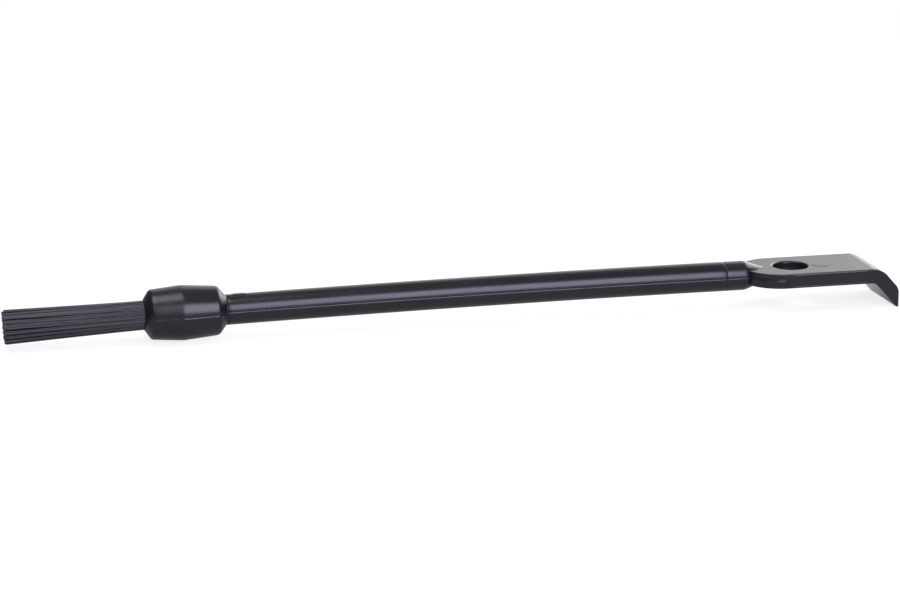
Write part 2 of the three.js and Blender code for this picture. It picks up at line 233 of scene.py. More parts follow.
class ScraperSizes(PropertyGroup):
    """Sizes of the scraper, with places along it from its seam."""

    stub_length: length("Stub length", "Length of the round stub", 4)
    cone_angle: angle("Cone angle", "Half angle of the cone", 19)
    cone_length: length("Cone length", "Length of the cone, sunk into the plate", 5.2)
    cone_rounding: length("Cone rounding", "Setback of the round where the cone starts", 0.35)
    spigot_radius: length("Spigot radius", "Radius of the spigot in the shaft's bore", 1.7)
    thickness: length("Plate thickness", "Thickness of the plate", 2.8)
    plate_width: length("Plate width", "Width of the plate", 13.4)
    round_centre: length("Round end centre", "Centre of the plate's full-round end", 10.6)
    sag: angle("Sag", "How far the scraper falls from the axis, on from the shaft's bow", 0.37)
    edge_round: length("Edge round", "Round on the plate's edges", 0.18)
    tip_round: length("Tip round", "Round on the edges of the lip's tip", 0.16)
    hole_at: length("Hole place", "Centre of the hanging hole", 13.4)
    hole_radius: length("Hole radius", "Radius of the hanging hole at its mouth", 3.34)
    hole_round: length("Hole round", "Round on the hole's edges", 0.4)
    hole_draft: length("Hole draft", "How much narrower the hole is halfway down", 0.08)
    fold_at: length("Fold place", "Where the lip folds down from the plate", 29.4)
    fold_angle: angle("Fold angle", "How far the lip folds down", 48)
    fold_rounding: length("Fold rounding", "Setback of the fold's outer round", 1.7)
    inner_rounding: length("Inner rounding", "Setback of the fold's inner round", 0.5)
    lip_thickness: length("Lip thickness", "Thickness of the lip", 2.7)
    face_at: length("Face place", "Place of the upright chisel face", 33.05)
    face_rounding: length("Face rounding", "Setback of the round over the chisel face", 0.8)
    drop: length("Drop", "Depth of the lip's tip under the axis", 6.32)
    tip_chamfer: length("Tip chamfer", "Height of the blunt facet at the tip", 0.2)
    disc_at: place("Ejector disc", "Place of the ejector's faint disc on the plate", (19.5, -0.4))
    disc_radius: length("Disc radius", "Radius of the ejector's disc", 1.8)
    disc_height: length("Disc height", "Height of the ejector's disc", 0.05)
    disc_depth: length("Disc depth", "How deep that disc is sunk into the plate", 0.15)
    disc_round: length("Disc round", "Round on the disc's edge", 0.035)
    witness_width: length("Witness line", "Width of the mould's joint line on the plate's edge", 0.14)


class TuftSizes(PropertyGroup):
    """Sizes of the bristle tuft, with lengths from the ferrule's mouth."""

    filament: length("Filament", "Diameter of one filament", 0.19)
    pitch: length("Pitch", "Distance of neighbouring filaments in the mouth", 0.204)
    radius: length("Radius", "Radius that the filaments' centres fill in the mouth", 2.6)
    reach: length("Reach", "Length of the tuft outside the mouth", 25.1)
    raggedness: length("Raggedness", "How unevenly the tips are cut", 0.22)
    trim_slope: share("Trim slope", "How much longer the upper filaments are, per unit of height", 0.03)
    droop: length("Droop", "How far the tips hang under the axis", 0.62)
    clump: length("Clump", "Distance of neighbouring clumps in the mouth", 0.8)
    spread: share("Spread", "How far the clumps move apart by their tips", 1.155)
    gather: share("Gather", "How close a clump's filaments stay, against their pitch", 0.78)
    side_lean: share("Side lean", "How far a clump leans to the side, against their distance", 0.25)
    lean: share("Lean", "How far a clump leans up or down, against their distance", 0.7)
    clump_tone: share("Clump tone", "How much of a filament's tone it shares with its clump", 0.5)
    gather_course: share("Gather course", "Power of the length with which a clump draws together", 0.5)
    spread_course: share("Spread course", "Power of the length with which clumps move apart", 1.8)
    wander: length("Wander", "How far single tips stray from their places", 0.05)
    slit: length("Slit", "Half of the room that the anchor keeps open in the fold", 0.33)
    fold_depth: length("Fold depth", "Length of the fold behind the anchor", 1.2)
    fold_gap: length("Fold gap", "Half of the gap between the two legs at the end of the fold", 0.02)
    fold_front: length("Fold front", "Length before the anchor over which the slit stays open", 0.4)
    anchor_edge: share("Anchor edge", "Round of the anchor's edges, against its thickness", 0.48)
    seed: IntProperty(name="Seed", description="Seed of the tuft's unevenness", default=11)


class Finishes(PropertyGroup):
    """Colours and surface qualities."""

    plastic: colour("Plastic", "Colour of the moulded plastic", (0.0082, 0.0077, 0.0116))
    plastic_bloom: colour("Plastic bloom", "Colour of its paler clouds", (0.0120, 0.0113, 0.0158))
    plastic_roughness: share("Plastic roughness", "Roughness of the moulded plastic", 0.28)
    grain: length("Grain", "Size of the plastic's spark-eroded grain", 0.32)
    grain_depth: length("Grain depth", "Depth of that grain", 0.0052)
    coarse_grain: length("Coarse grain", "Size of the plastic's coarser grain", 1.92)
    fine_share: share("Fine share", "How much of the relief is fine grain, not coarse", 0.8)
    clouds: length("Clouds", "Size of the plastic's paler clouds", 9)
    cloud_share: share("Cloud share", "How much of the bloom is clouds, not coarse grain", 0.7)
    grain_gloss: share("Grain gloss", "How far the grain changes the roughness", 0.12)
    cloud_gloss: share("Cloud gloss", "How far the clouds change the roughness", 0.1)
    nylon_dark: colour("Dark nylon", "Colour of the darkest filaments", (0.0096, 0.0102, 0.0112))
    nylon_pale: colour("Pale nylon", "Colour of the palest filaments", (0.066, 0.0705, 0.074))
    nylon_roughness: share("Nylon roughness", "Roughness of the filaments", 0.38)
    streak: length("Streak", "Width of the streaks along a filament", 0.12)
    streak_depth: length("Streak depth", "Depth of those streaks", 0.003)
    streak_gloss: share("Streak gloss", "How far the streaks change the roughness", 0.12)
    tone_share: share("Tone share", "How much of the paleness is tone, not streaks", 0.75)
    # Partly painted light: the filaments pale towards their cut ends, which also lifts the shade on the
    # end faces that turn away from the lamps.
    nylon_cut: length("Cut ends", "Length over which the filaments pale towards their cut ends", 0.5)
    nylon_cut_tone: share("Cut tone", "How much paler the cut ends are", 0.9)
    wire: colour("Wire", "Colour of the anchor's steel", (0.42, 0.42, 0.44))
    wire_roughness: share("Wire roughness", "Roughness of the anchor's steel", 0.3)
    wire_line: length("Wire line", "Width of the drawing lines along the steel", 0.06)
    wire_line_depth: length("Wire line depth", "Depth of those lines", 0.004)
    wire_line_tone: share("Wire line tone", "Tone of those lines, against the steel's colour", 0.7)
    wire_line_gloss: share("Wire line gloss", "How far those lines change the roughness", 0.2)


class StageSettings(PropertyGroup):
    """Camera, lamps, surroundings and floor."""

    aim: place("Aim", "Point that the camera looks at", (-1.875, 1.094, 5.12))
    distance: length("Distance", "Distance of the camera from that point", 504.125)
    azimuth: angle("Azimuth", "Turn of the view to the right of straight ahead", 13.185)
    elevation: angle("Elevation", "Height of the camera over the horizon", 14.8)
    roll: angle("Roll", "Turn of the camera about its view", -0.385)
    lens: FloatProperty(name="Lens", description="Focal length", default=108.38, unit="CAMERA")
    nearest: length("Nearest", "Distance from which the camera sees", 10)
    key_place: place("Key place", "Middle of the key softbox", (140, -523, 290))
    key_size: place("Key size", "Width and height of the key softbox", (360, 400))
    key_strength: strength("Key strength", "Radiance of the key softbox", 6.5)
    key_colour: colour("Key colour", "Colour of the key softbox", (0.78, 0.78, 1.0))
    top_place: place("Top place", "Middle of the overhead softbox", (-159, -50, 600))
    top_size: place("Top size", "Width and height of the overhead softbox", (400, 290))
    top_strength: strength("Top strength", "Radiance of the overhead softbox", 3.8)
    top_colour: colour("Top colour", "Colour of the overhead softbox", (0.97, 0.97, 1.0))
    back_place: place("Back place", "Middle of the softbox behind the brush", (430, 430, 225))
    back_size: place("Back size", "Width and height of the softbox behind", (280, 260))
    back_strength: strength("Back strength", "Radiance of the softbox behind the brush", 3.6)
    back_colour: colour("Back colour", "Colour of the softbox behind the brush", (0.98, 0.99, 1.0))
    left_place: place("Left place", "Middle of the weak softbox at the left", (-260, -440, 420))
    left_size: place("Left size", "Width and height of the softbox at the left", (300, 300))
    left_strength: strength("Left strength", "Radiance of the softbox at the left", 1.4)
    left_colour: colour("Left colour", "Colour of the softbox at the left", (0.9, 0.9, 1.0))
    right_place: place("Right place", "Middle of the softbox at the right", (478, 180, 389))
    right_size: place("Right size", "Width and height of the softbox at the right", (260, 260))
    right_strength: strength("Right strength", "Radiance of the softbox at the right", 4)
    right_colour: colour("Right colour", "Colour of the softbox at the right", (0.98, 0.99, 1.0))
    room: strength("Room", "Radiance of the studio's walls at the sides", 0.12)
    ceiling: strength("Ceiling", "What the ceiling adds to that", 0.12)
    front: strength("Front", "What the wall behind the camera adds to that", 0.05)
    backdrop: strength("Backdrop", "Radiance of the white backdrop behind the brush", 1.3)
    floor_size: length("Floor size", "Side of the square floor", 600)
    floor_gap: length("Floor gap", "Room between the brush and the floor", 0.02)
    floor_colour: colour("Floor colour", "Colour of the floor", (0.28, 0.28, 0.28))
    floor_white: strength("Floor white", "What makes the floor white in the picture", 0.81)
    floor_gloss: share("Floor gloss", "How much of that white shows in reflections", 0.38)
    # Painted light: a patch of floor behind the scraper glows more, only in reflections, so the lip's
    # underside looks brighter.
    floor_pool: share("Floor pool", "How much more of it shows behind the scraper", 0.7)
    pool_start: place("Pool start", "Where that brighter pool starts, in X and Y", (45, -8))
    pool_full: place("Pool full", "Where that brighter pool is at its full", (75, 12))


class BrushSettings(PropertyGroup):
    """Everything that a user of the panel can change."""

    ferrule: PointerProperty(type=FerruleSizes)
    shaft: PointerProperty(type=ShaftSizes)
    parting: PointerProperty(type=PartingLine)
    scraper: PointerProperty(type=ScraperSizes)
    tuft: PointerProperty(type=TuftSizes)
    finishes: PointerProperty(type=Finishes)
    stage: PointerProperty(type=StageSettings)


class Wire:
    """An output of a shader node that takes part in Python expressions."""

    def __init__(self, tree, socket):
        self.tree = tree
        self.socket = socket

    @classmethod
    def node(cls, tree, kind, settings=None, sockets=None, output=0):
        """Adds a node: its settings, then the values or links of its sockets. Gives one output."""
        made = tree.nodes.new(kind)
        for name, value in (settings or {}).items():
            setattr(made, name, value)
        for name, value in (sockets or {}).items():
            if isinstance(value, Wire):
                tree.links.new(value.socket, made.inputs[name])
            else:
                made.inputs[name].default_value = value
        return cls(tree, made.outputs[output] if made.outputs else None)

    def sibling(self, output):
        """Another output of the same node."""
        return Wire(self.tree, self.socket.node.outputs[output])

    def maths(self, operation, left, right):
        """What a Math node makes of two values or outputs."""
        return Wire.node(self.tree, "ShaderNodeMath", {"operation": operation}, {0: left, 1: right})

    def __add__(self, other):
        return self.maths("ADD", self, other)

    def __radd__(self, other):
        return self.maths("ADD", other, self)

    def __sub__(self, other):
        return self.maths("SUBTRACT", self, other)

    def __rsub__(self, other):
        return self.maths("SUBTRACT", other, self)

    def __mul__(self, other):
        return self.maths("MULTIPLY", self, other)

    def __rmul__(self, other):
        return self.maths("MULTIPLY", other, self)

    def step(self, low, high):
        """A soft step from 0 where this is at low to 1 where it is at high."""
        return Wire.node(
            self.tree,
            "ShaderNodeMapRange",
            {"interpolation_type": "SMOOTHSTEP"},
            {"Value": self, "From Min": low, "From Max": high},
        )

    def blend(self, low, high):
        """A colour that goes from low to high as this goes from 0 to 1."""
        return Wire.node(
            self.tree,
            "ShaderNodeMix",
            {"data_type": "RGBA"},
            {0: self, 6: [*low, 1], 7: [*high, 1]},
            output=2,
        )


def new_material(name):
    """An empty node material, as (material, tree)."""
    material = bpy.data.materials.new(name)
    material.use_nodes = True
    material.node_tree.nodes.clear()
    return material, material.node_tree


def finish_shader(tree, sockets):
    """A Principled shader with these sockets, joined to the material's output."""
    shader = Wire.node(tree, "ShaderNodeBsdfPrincipled", {}, sockets)
    Wire.node(tree, "ShaderNodeOutputMaterial", {}, {"Surface": shader})


def noise(tree, vector, size, detail):
    """Noise with features of about that size, in metres, on a vector in metres."""
    sockets = {"Vector": vector, "Scale": 1 / size, "Detail": detail, "Roughness": NOISE_ROUGHNESS}
    return Wire.node(tree, "ShaderNodeTexNoise", {"normalize": True}, sockets)


def bump(tree, depth, height):
    """Normals of a relief of that depth, in metres, whose height goes from 0 to 1."""
    return Wire.node(
        tree, "ShaderNodeBump", {}, {"Strength": 1, "Distance": depth, "Height": height}
    )


def stretch(tree, vector, factors):
    """A vector with each of its parts times its own factor."""
    return Wire.node(tree, "ShaderNodeVectorMath", {"operation": "MULTIPLY"}, {0: vector, 1: factors})


def moulded_plastic(finishes):
    """Black moulded plastic: satin, with a fine spark-eroded grain and faint paler clouds."""
    material, tree = new_material("moulded_plastic")
    straight = Wire.node(tree, "ShaderNodeTexCoord", output="Object")
    spot = Wire.node(
        tree,
        "ShaderNodeVectorRotate",
        {"rotation_type": "EULER_XYZ"},
        {"Vector": straight, "Rotation": GRAIN_TURN},
    )
    grain = noise(tree, spot, finishes.grain, 2)
    coarse = noise(tree, spot, finishes.coarse_grain, 3)
    clouds = noise(tree, spot, finishes.clouds, 3)
    bloom = clouds.step(*CLOUD_EDGES) * finishes.cloud_share
    bloom = bloom + coarse.step(*COARSE_EDGES) * (1 - finishes.cloud_share)
    relief = grain * finishes.fine_share + coarse * (1 - finishes.fine_share)
    uneven = (grain - NOISE_MIDDLE) * finishes.grain_gloss
    uneven = uneven + (clouds - NOISE_MIDDLE) * finishes.cloud_gloss
    finish_shader(
        tree,
        {
            "Base Color": bloom.blend(finishes.plastic, finishes.plastic_bloom),
            "Roughness": uneven + finishes.plastic_roughness,
            "IOR": 1.5,
            "Normal": bump(tree, finishes.grain_depth, relief),
        },
    )
    return material


def nylon_filament(finishes):
    """Extruded nylon: each filament has a tone of its own, with faint streaks along it, and paler cut
    ends that are partly painted light.
    """
    material, tree = new_material("nylon_filament")
    spot = Wire.node(tree, "ShaderNodeTexCoord", output="Object")
    tone = Wire.node(tree, "ShaderNodeAttribute", {"attribute_name": "filament_tone"}, output="Fac")
    streaks = noise(tree, stretch(tree, spot, FILAMENT_STRETCH), finishes.streak, 2)
    body = tone.step(*TONE_EDGES) * finishes.tone_share
    body = body + streaks.step(*STREAK_EDGES) * (1 - finishes.tone_share)
    along = Wire.node(tree, "ShaderNodeSeparateXYZ", {}, {"Vector": spot})
    # Partly painted light: paler towards the cut ends, which lifts the shade on the tips' end faces.
    cut_end_and_painted_light = 1 - along.step(CAD_BOX[0].x, CAD_BOX[0].x + finishes.nylon_cut)
    pale = body + cut_end_and_painted_light * finishes.nylon_cut_tone
    finish_shader(
        tree,
        {
            "Base Color": pale.blend(finishes.nylon_dark, finishes.nylon_pale),
            "Roughness": (streaks - NOISE_MIDDLE) * finishes.streak_gloss + finishes.nylon_roughness,
            "IOR": 1.53,
            "Normal": bump(tree, finishes.streak_depth, streaks),
        },
    )
    return material


def rolled_wire(finishes):
    """Plain rolled steel wire: faint drawing lines along it."""
    material, tree = new_material("rolled_wire")
    spot = Wire.node(tree, "ShaderNodeTexCoord", output="Object")
    lines = noise(tree, stretch(tree, spot, WIRE_STRETCH), finishes.wire_line, 3)
    dull = [finishes.wire_line_tone * value for value in finishes.wire]
    finish_shader(
        tree,
        {
            "Base Color": lines.step(*LINE_EDGES).blend(dull, finishes.wire),
            "Metallic": 1,
            "Roughness": (lines - NOISE_MIDDLE) * finishes.wire_line_gloss + finishes.wire_roughness,
            "Normal": bump(tree, finishes.wire_line_depth, lines),
        },
    )
    return material


def pictured_rays(tree):
    """1 for the camera's own rays and for rays through clear pieces, and 0 for all others."""
    direct = Wire.node(tree, "ShaderNodeLightPath", output="Is Camera Ray")
    return direct + direct.sibling("Is Transmission Ray")


def pale_floor(stage):
    """A pale matt floor: white in the picture, with a painted glow behind the scraper that only
    reflections see.
    """
    material, tree = new_material("pale_floor")
    mirrored = Wire.node(tree, "ShaderNodeLightPath", output="Is Glossy Ray")
    spot = Wire.node(tree, "ShaderNodeTexCoord", output="Object")
    along = Wire.node(tree, "ShaderNodeSeparateXYZ", {}, {"Vector": spot})
    across = along.sibling("Y")
    start, full = stage.pool_start, stage.pool_full
    # Painted light: the floor glows more in a patch behind the scraper, for reflections only.
    painted_glow = along.step(start[0], full[0]) * across.step(start[1], full[1])
    shown = pictured_rays(tree) + mirrored * (painted_glow * stage.floor_pool + stage.floor_gloss)
    matt = Wire.node(tree, "ShaderNodeBsdfDiffuse", {}, {"Color": [*stage.floor_colour, 1]})
    white = Wire.node(tree, "ShaderNodeEmission", {}, {"Strength": shown * stage.floor_white})
    both = Wire.node(tree, "ShaderNodeAddShader", {}, {0: matt, 1: white})
    Wire.node(tree, "ShaderNodeOutputMaterial", {}, {"Surface": both})
    return material


def shared_material(make, context):
    """The material that this function makes, made once and then shared by like pieces."""
    found = bpy.data.materials.get(make.__name__)
    return found or make(context.scene.cleaning_brush.finishes)


def on_axis(start, along, out):
    """A point of a turned piece's profile: so far along from its start, and so far out from the axis."""
    return Vector((start + along, 0, AXIS_Z + out))


def arch(share_along):
    """The height of an arch that is 0 at both ends and 1 halfway along."""
    return 4 * share_along * (1 - share_along)


def add_primitive(adder, name, **settings):
    """Adds one primitive with nothing else selected, and opens it in edit mode."""
    if bpy.context.mode != "OBJECT":
        bpy.ops.object.mode_set(mode="OBJECT")
    bpy.ops.object.select_all(action="DESELECT")
    adder(**settings)
    piece = bpy.context.object
    piece.name = name
    bpy.ops.object.transform_apply(location=True, rotation=True, scale=True)
    bpy.ops.object.mode_set(mode="EDIT")
    bpy.ops.mesh.select_mode(type="VERT")
    return piece


def draw_chain(name, points):
    """Draws a chain of edges through the points, by extruding one vertex, in edit mode."""
    piece = add_primitive(bpy.ops.mesh.primitive_plane_add, name, size=MM)
    bpy.ops.mesh.merge(type="CENTER")
    bpy.ops.transform.translate(value=points[0])
    for start, end in zip(points, points[1:]):
        bpy.ops.mesh.extrude_vertices_move(TRANSFORM_OT_translate={"value": end - start})
    return piece


def choose(test):
    """Selects the vertices of the edited mesh whose places pass the test, and no others."""
    mesh = bpy.context.edit_object.data
    bpy.ops.mesh.select_all(action="DESELECT")
    drawing = bmesh.from_edit_mesh(mesh)
    for vertex in drawing.verts:
        vertex.select = test(vertex.co)
    drawing.select_flush_mode()
    bmesh.update_edit_mesh(mesh)


def choose_faces(test):
    """Selects the faces of the edited mesh whose middles and normals pass the test, and no others."""
    mesh = bpy.context.edit_object.data
    bpy.ops.mesh.select_all(action="DESELECT")
    drawing = bmesh.from_edit_mesh(mesh)
    for face in drawing.faces:
        if test(face.calc_center_median(), face.normal):
            face.select_set(True)
    bmesh.update_edit_mesh(mesh)


def round_corner(corner, setback, segments):
    """Rounds one corner of a drawn outline, starting that far before it."""
    choose(lambda spot: (spot - corner).length < TOUCH)
    bpy.ops.mesh.bevel(offset=setback, segments=segments, affect="VERTICES")


def draw_outline(name, corners):
    """Draws a chain of corners, each a point and its rounding: (setback, segments), or () for none."""
    piece = draw_chain(name, [point for point, rounding in corners])
    for point, rounding in corners:
        if rounding:
            round_corner(point, *rounding)
    return piece


def turn(centre, axis, steps):
    """Spins the drawn outline all the way round an axis, and closes its seam and its poles."""
    bpy.ops.mesh.select_all(action="SELECT")
    bpy.ops.mesh.spin(steps=steps, angle=2 * math.pi, center=centre, axis=axis)
    weld()


def divide_long_edges(longest):
    """Halves the edges of the drawn outline until none is longer than that."""
    mesh = bpy.context.edit_object.data
    while True:
        bpy.ops.mesh.select_all(action="DESELECT")
        drawing = bmesh.from_edit_mesh(mesh)
        long_edges = [edge for edge in drawing.edges if edge.calc_length() > longest]
        if not long_edges:
            return
        for edge in long_edges:
            edge.select_set(True)
        bmesh.update_edit_mesh(mesh)
        bpy.ops.mesh.subdivide(number_cuts=1)


def turned_piece(name, start, outline, longest):
    """Turns an outline of (along, out, rounding) about the brush's axis, in rings up to so long."""
    corners = [(on_axis(start, along, out), rounding) for along, out, *rounding in outline]
    piece = draw_outline(name, corners)
    divide_long_edges(longest)
    turn(on_axis(0, 0, 0), ALONG, TURN_STEPS)
    return piece


def weld():
    """Merges what coincides in the edited mesh, and points its faces outwards."""
    bpy.ops.mesh.select_all(action="SELECT")
    bpy.ops.mesh.remove_doubles(threshold=WELD)
    bpy.ops.mesh.select_all(action="SELECT")
    bpy.ops.mesh.normals_make_consistent(inside=False)


def activate(piece):
    """Leaves edit mode and makes this the only selected object."""
    if bpy.context.mode != "OBJECT":
        bpy.ops.object.mode_set(mode="OBJECT")
    bpy.ops.object.select_all(action="DESELECT")
    piece.select_set(True)
    bpy.context.view_layer.objects.active = piece


def apply_modifier(piece, kind, **settings):
    """Adds a modifier with these settings and applies it."""
    activate(piece)
    modifier = piece.modifiers.new(kind.lower(), kind)
    for name, value in settings.items():
        setattr(modifier, name, value)
    bpy.ops.object.modifier_apply(modifier=modifier.name)


def combine(piece, tool, operation):
    """Joins a tool to a piece, cuts it out, or keeps what both share. The tool is used up."""
    apply_modifier(piece, "BOOLEAN", operation=operation, object=tool, solver="EXACT")
    bpy.data.objects.remove(tool)


def slice_along(piece, start, end, step):
    """Cuts the sideways faces of a piece into steps along X, so that a line on them can be uneven."""
    activate(piece)
    bpy.ops.object.mode_set(mode="EDIT")
    count = round((end - start) / step)
    for index in range(1, count):
        choose_faces(lambda middle, normal: abs(normal.y) > FACING)
        cut = start + (end - start) * index / count
        bpy.ops.mesh.bisect(plane_co=(cut, 0, 0), plane_no=ALONG, threshold=WELD)


def raise_parting_line(piece, parting, level, rise, within):
    """Raises a parting line at that level over the axis, on the points that pass the test."""
    activate(piece)
    bpy.ops.object.mode_set(mode="EDIT")
    for offset in (0, -parting.width / 2, parting.width / 2):
        bpy.ops.mesh.select_all(action="SELECT")
        bpy.ops.mesh.bisect(plane_co=on_axis(0, 0, level + offset), plane_no=UP, threshold=WELD)
    choose(lambda spot: abs(spot.z - AXIS_Z - level) < TOUCH and within(spot))
    bpy.ops.transform.shrink_fatten(value=rise)
    bpy.ops.transform.vertex_random(
        offset=parting.unevenness, uniform=0, normal=1, seed=parting.seed
    )


def lift_along(piece, lift_at):
    """Lifts each point of a piece by what the function gives for its place along X."""
    activate(piece)
    for vertex in piece.data.vertices:
        vertex.co.z += lift_at(vertex.co.x)


def dress(piece, node, material):
    """Smooths a finished piece, gives it its material, and lets it stand for its node."""
    activate(piece)
    bpy.ops.object.shade_smooth_by_angle(angle=SMOOTH_ANGLE)
    piece.data.materials.clear()
    piece.data.materials.append(material)
    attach(piece, "root")
    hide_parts(node)


class BRUSH_OT_ferrule(Operator):
    """Turn the ferrule: two shallow cones, chamfered ends, and a blind hole from each end"""

    bl_idname = "cleaning_brush.ferrule"
    bl_label = "Ferrule"

    def execute(self, context):
        settings = context.scene.cleaning_brush
        sizes = settings.ferrule
        socket_end = sizes.socket_depth
        bore_end = socket_end + sizes.web
        rear_edge = FERRULE_LENGTH - sizes.rear_chamfer
        neck = FERRULE_LENGTH - sizes.neck_length
        outline = [
            (socket_end, 0),
            (socket_end, sizes.socket_radius),
            (0, sizes.socket_radius, sizes.socket_rounding, 2),
            (0, sizes.mouth_radius, sizes.mouth_rounding, 3),
            (sizes.front_chamfer, sizes.front_radius, sizes.front_rounding, 6),
            (sizes.ridge_at, sizes.ridge_radius, sizes.ridge_rounding, 10),
            (rear_edge, sizes.rear_radius, sizes.rear_rounding, 7),
            (neck, sizes.neck_radius, sizes.neck_rounding, 4),
            (FERRULE_LENGTH, sizes.neck_end_radius, sizes.neck_end_rounding, 3),
            (FERRULE_LENGTH, sizes.bore_radius),
            (bore_end, sizes.bore_radius),
            (bore_end, 0),
        ]
        piece = turned_piece("turned_ferrule", MOUTH_X, outline, settings.shaft.step)

        room = Vector((sizes.groove_clearance,) * 3)
        grooves = add_primitive(
            bpy.ops.mesh.primitive_cube_add,
            "anchor_grooves",
            size=1,
            location=(ANCHOR_LOW + ANCHOR_HIGH) / 2,
            scale=ANCHOR_HIGH - ANCHOR_LOW + 2 * room,
        )
        combine(piece, grooves, "DIFFERENCE")

        inside = (sizes.socket_radius + sizes.neck_end_radius) / 2
        ridge = MOUTH_X + sizes.ridge_at
        parting = settings.parting
        raise_parting_line(
            piece, parting, 0, parting.front_height, lambda spot: abs(spot.y) > inside and spot.x < ridge
        )
        raise_parting_line(
            piece, parting, 0, parting.height, lambda spot: abs(spot.y) > inside and spot.x > ridge
        )
        dress(piece, "ferrule", shared_material(moulded_plastic, context))
        return {"FINISHED"}


class BRUSH_OT_shaft(Operator):
    """Turn the handle shaft: a plain rod with a spigot in front and a blind bore behind"""

    bl_idname = "cleaning_brush.shaft"
    bl_label = "Handle shaft"

    def execute(self, context):
        settings = context.scene.cleaning_brush
        sizes = settings.shaft
        start = FERRULE_HIGH.x + sizes.seam_gap
        rod = SHAFT_HIGH.x - start
        spigot = start - SHAFT_LOW.x
        bore_end = rod - sizes.bore_depth
        outline = [
            (-spigot, 0),
            (-spigot, sizes.spigot_radius - sizes.lead_in),
            (sizes.lead_in - spigot, sizes.spigot_radius),
            (0, sizes.spigot_radius),
            (0, sizes.radius, sizes.start_rounding, 5),
            (rod - sizes.seam_chamfer, sizes.radius, sizes.seam_rounding, 2),
            (rod, sizes.radius - sizes.seam_chamfer),
            (rod, sizes.bore_radius),
            (bore_end, sizes.bore_radius),
            (bore_end - sizes.bore_point, 0),
        ]
        piece = turned_piece("round_shaft", start, outline, sizes.step)
        gate = start + sizes.gate_at
        choose(
            lambda spot: spot.z > AXIS_Z + sizes.spigot_radius
            and abs(spot.x - gate) < sizes.gate_length / 2
            and abs(spot.y) < sizes.gate_width / 2
        )
        bpy.ops.transform.translate(value=UP * sizes.gate_height)
        on_rod = sizes.radius - TOUCH
        parting = settings.parting
        raise_parting_line(piece, parting, 0, parting.height, lambda spot: abs(spot.y) > on_rod)
        lift_along(piece, lambda x: self.bow(sizes, (x - start) / rod))
        dress(piece, "handle_shaft", shared_material(moulded_plastic, context))
        return {"FINISHED"}

    def bow(self, sizes, along):
        """How far the rod is bowed up at a share of its length, as cooling in the mould does."""
        along = min(max(along, 0), 1)
        return sizes.bow * arch(along) + sizes.end_lift * along


